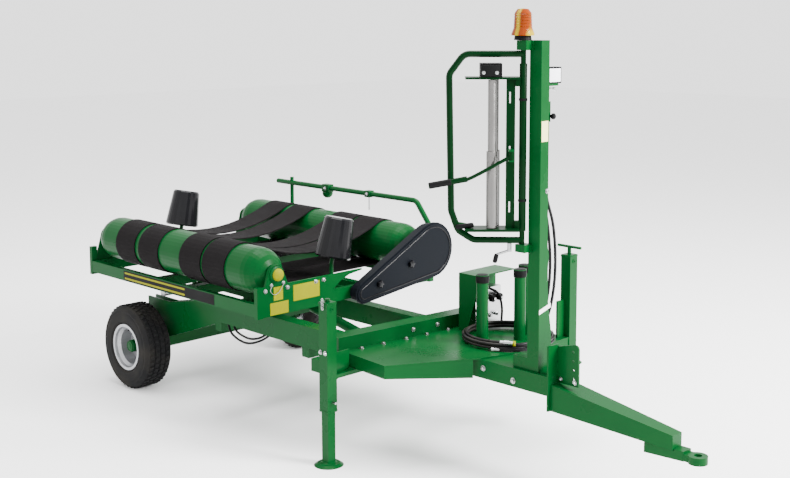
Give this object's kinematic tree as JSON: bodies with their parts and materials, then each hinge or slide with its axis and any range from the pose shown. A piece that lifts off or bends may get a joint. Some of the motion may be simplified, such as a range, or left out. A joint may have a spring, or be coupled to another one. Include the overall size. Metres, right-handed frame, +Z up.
{
  "type": "trailed round bale wrapper",
  "caption": "Trailed round bale wrapper with a tipping belt turntable, film dispenser mast, two screw jacks and a drawbar.",
  "frame": {"origin": "on the ground, under the middle of the machine's length and on its centre line", "axes": "+X to the drawbar eye (front), +Y to the machine's left, +Z up"},
  "size_m": [4.632, 1.7038, 2.5646],
  "materials": {
    "green_paint": "gloss green enamel",
    "tyre_rubber": "matt black tread",
    "belt_rubber": "charcoal woven belt",
    "hose_rubber": "satin black hose",
    "silver_wheel": "silver wheel paint",
    "black_plastic": "matt black",
    "gloss_black_plastic": "gloss black",
    "amber_plastic": "clear amber",
    "slate_plastic": "dark blue-grey moulded",
    "aluminium": "ribbed aluminium",
    "plated_steel": "zinc plated"
  },
  "bodies": {
    "chassis": {"axle": "green_paint", "beacon_base": "black_plastic", "beacon_lens": "amber_plastic", "chassis_frame": "green_paint", "cylinder_pin": "plated_steel", "deck": "green_paint", "drawbar": "green_paint", "drawbar_neck": "green_paint", "film_post_1": "green_paint", "film_post_2": "green_paint", "film_post_3": "green_paint", "hitch_bracket": "green_paint", "hitch_eye": "green_paint", "hose_coil": "hose_rubber", "jack_handle_left": "green_paint", "jack_handle_right": "green_paint", "jack_sleeve_left": "green_paint", "jack_sleeve_right": "green_paint", "mast": "green_paint", "tipping_pin": "plated_steel", "valve_block": "plated_steel", "valve_guard": "green_paint", "work_lamp": "black_plastic"},
    "wheel_right": {"tyre_right": "tyre_rubber", "rim_right": "silver_wheel", "hub_right": "green_paint"},
    "wheel_left": {"tyre_left": "tyre_rubber", "rim_left": "silver_wheel", "hub_left": "green_paint"},
    "tipping_frame": {"tipping_frame_beam": "green_paint"},
    "tipping_cylinder": {"cylinder_barrel": "green_paint"},
    "cylinder_rod": {"cylinder_rod": "plated_steel"},
    "turntable": {"table_frame": "green_paint", "roller_right": "green_paint", "roller_left": "green_paint", "belt_1": "belt_rubber", "belt_2": "belt_rubber", "belt_3": "belt_rubber", "belt_4": "belt_rubber", "chain_cover": "slate_plastic", "cover_bracket": "green_paint", "bale_retaining_bar": "green_paint"},
    "cone_front": {"cone_front": "gloss_black_plastic"},
    "cone_rear": {"cone_rear": "gloss_black_plastic"},
    "dispenser_arm": {"dispenser_arm_hoop": "green_paint", "dispenser_frame": "green_paint", "stretch_gearbox": "black_plastic", "height_crank": "plated_steel", "lever_bracket": "green_paint"},
    "stretch_roller_1": {"stretch_roller_1": "aluminium"},
    "stretch_roller_2": {"stretch_roller_2": "aluminium"},
    "roll_lever": {"roll_tension_lever": "green_paint"},
    "jack_leg_right": {"jack_foot_right": "green_paint"},
    "jack_leg_left": {"jack_foot_left": "green_paint"}
  },
  "joints": [
    {"name": "wheel_right", "type": "hinge", "parent": "chassis", "child": "wheel_right", "pos_m": [-1.696, -0.715, 0.2875], "axis": [0, 1, 0], "continuous": true},
    {"name": "wheel_left", "type": "hinge", "parent": "chassis", "child": "wheel_left", "pos_m": [-1.696, 0.715, 0.2875], "axis": [0, 1, 0], "continuous": true},
    {"name": "table_tip", "type": "hinge", "parent": "chassis", "child": "tipping_frame", "pos_m": [-1.696, 0, 0.615], "axis": [0, -1, 0], "range_deg": [0, 40]},
    {"name": "cylinder_swing", "type": "hinge", "parent": "chassis", "child": "tipping_cylinder", "pos_m": [-0.196, 0, 0.5], "axis": [0, 1, 0], "range_deg": [0, 30]},
    {"name": "cylinder_stroke", "type": "slide", "parent": "tipping_cylinder", "child": "cylinder_rod", "axis": [-0.9806, 0, 0.1961], "range_m": [0, 0.37]},
    {"name": "turntable_spin", "type": "hinge", "parent": "tipping_frame", "child": "turntable", "pos_m": [-1.256, 0, 0.722], "axis": [0, 0, 1], "continuous": true},
    {"name": "cone_front_spin", "type": "hinge", "parent": "turntable", "child": "cone_front", "pos_m": [-0.481, 0, 0.965], "axis": [0.0293, 0.2148, 0.9762], "continuous": true},
    {"name": "cone_rear_spin", "type": "hinge", "parent": "turntable", "child": "cone_rear", "pos_m": [-2.196, 0, 0.965], "axis": [-0.0293, 0.2148, 0.9762], "continuous": true},
    {"name": "dispenser_swing", "type": "hinge", "parent": "chassis", "child": "dispenser_arm", "pos_m": [1.226, -0.131, 1.3], "axis": [0, 0, 1], "range_deg": [-15, 35]},
    {"name": "stretch_roller_1_spin", "type": "hinge", "parent": "dispenser_arm", "child": "stretch_roller_1", "pos_m": [1.12377, -0.26237, 1.4], "axis": [0, 0, 1], "continuous": true},
    {"name": "stretch_roller_2_spin", "type": "hinge", "parent": "dispenser_arm", "child": "stretch_roller_2", "pos_m": [1.08679, -0.20336, 1.4], "axis": [0, 0, 1], "continuous": true},
    {"name": "roll_lever_swing", "type": "hinge", "parent": "dispenser_arm", "child": "roll_lever", "pos_m": [1.23643, -0.23574, 1.785], "axis": [0, 0, 1], "range_deg": [0, 25]},
    {"name": "jack_right_slide", "type": "slide", "parent": "chassis", "child": "jack_leg_right", "axis": [0, 0, 1], "range_m": [0, 0.24]},
    {"name": "jack_left_slide", "type": "slide", "parent": "chassis", "child": "jack_leg_left", "axis": [0, 0, 1], "range_m": [-0.43, 0]}
  ],
  "couplings": [
    {"joint": "cylinder_swing", "follows": "table_tip", "ratio": 0.675},
    {"joint": "cylinder_stroke", "follows": "table_tip", "m_per_rad": 0.509}
  ]
}
